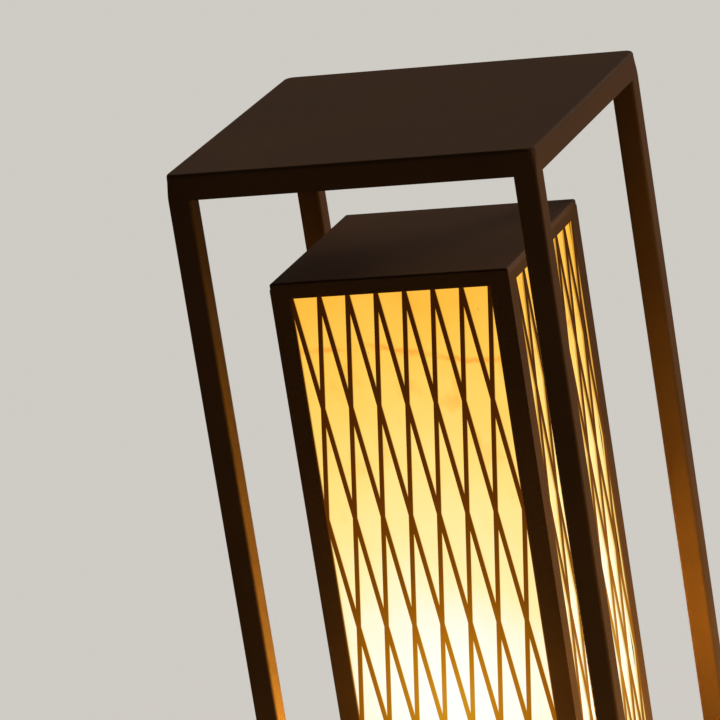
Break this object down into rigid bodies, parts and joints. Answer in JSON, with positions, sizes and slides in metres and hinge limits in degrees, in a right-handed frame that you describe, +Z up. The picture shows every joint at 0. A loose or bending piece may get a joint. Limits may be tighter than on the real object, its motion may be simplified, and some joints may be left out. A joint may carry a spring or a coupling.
{
  "type": "andon floor lamp",
  "caption": "Tall square floor lamp: a dark metal cage of square tube with a flat top stands round a lattice lantern with glowing cloudy stone-like panels.",
  "frame": {"origin": "on the floor, in the middle of the four feet", "axes": "+Z up, -Y to the front, +X to the viewer's right"},
  "size_m": [0.3, 0.304, 0.9],
  "materials": {
    "cage": "satin dark bronze powder coat",
    "lantern": "satin dark bronze powder coat",
    "alabaster": "satin translucent sheet, cloudy, lit from inside",
    "inner_steel": "zinc plated",
    "brass": "plain turned",
    "holder": "matt moulded",
    "bulb_body": "satin moulded",
    "bulb_globe": "opal, lit",
    "bulb_shell": "rolled",
    "block": "moulded",
    "rubber": "matt",
    "lead_live": "insulation",
    "lead_neutral": "insulation",
    "lead_earth": "insulation"
  },
  "bodies": {
    "lamp": {"cable_gland": "holder", "cable_gland_nut": "holder", "cage_floor": "cage", "cage_foot_back_left": "rubber", "cage_foot_back_right": "rubber", "cage_foot_front_left": "rubber", "cage_foot_front_right": "rubber", "cage_post_back_left": "cage", "cage_post_back_right": "cage", "cage_post_front_left": "cage", "cage_post_front_right": "cage", "cage_rail_back": "cage", "cage_rail_front": "cage", "cage_rail_left": "cage", "cage_rail_right": "cage", "cage_spigot_back_left": "cage", "cage_spigot_back_right": "cage", "cage_spigot_front_left": "cage", "cage_spigot_front_right": "cage", "cage_top_pan": "cage", "diffuser_back": "alabaster", "diffuser_front": "alabaster", "diffuser_kerb": "lantern", "diffuser_left": "alabaster", "diffuser_right": "alabaster", "earth_stud": "brass", "floor_grommet": "rubber", "holder_base": "holder", "holder_contact": "brass", "holder_screw_shell": "brass", "holder_sleeve": "holder", "lantern_angle_back_left": "lantern", "lantern_angle_back_right": "lantern", "lantern_angle_front_left": "lantern", "lantern_angle_front_right": "lantern", "lantern_cleat_nuts": "inner_steel", "lantern_cleat_screws": "inner_steel", "lantern_cleats": "lantern", "lantern_floor": "lantern", "lantern_floor_screws": "inner_steel", "lantern_floor_standoffs": "inner_steel", "lantern_screen_back": "lantern", "lantern_screen_front": "lantern", "lantern_screen_left": "lantern", "lantern_screen_right": "lantern", "lead_earth": "lead_earth", "lead_live": "lead_live", "lead_neutral": "lead_neutral", "stem_collar": "inner_steel", "stem_locknut": "inner_steel", "stem_tube": "inner_steel", "terminal_block": "block", "terminal_screws": "inner_steel"},
    "cap": {"lantern_cap": "lantern", "lantern_cap_lip": "lantern"},
    "bulb": {"bulb_tip": "brass", "bulb_screw_shell": "bulb_shell", "bulb_body": "bulb_body", "bulb_globe": "bulb_globe"}
  },
  "joints": [
    {"name": "cap_lift", "type": "slide", "parent": "lamp", "child": "cap", "axis": [0, 0, 1], "range_m": [0, 0.084]},
    {"name": "bulb_release", "type": "slide", "parent": "lamp", "child": "bulb", "axis": [0, 0, 1], "range_m": [0, 0.06]}
  ]
}
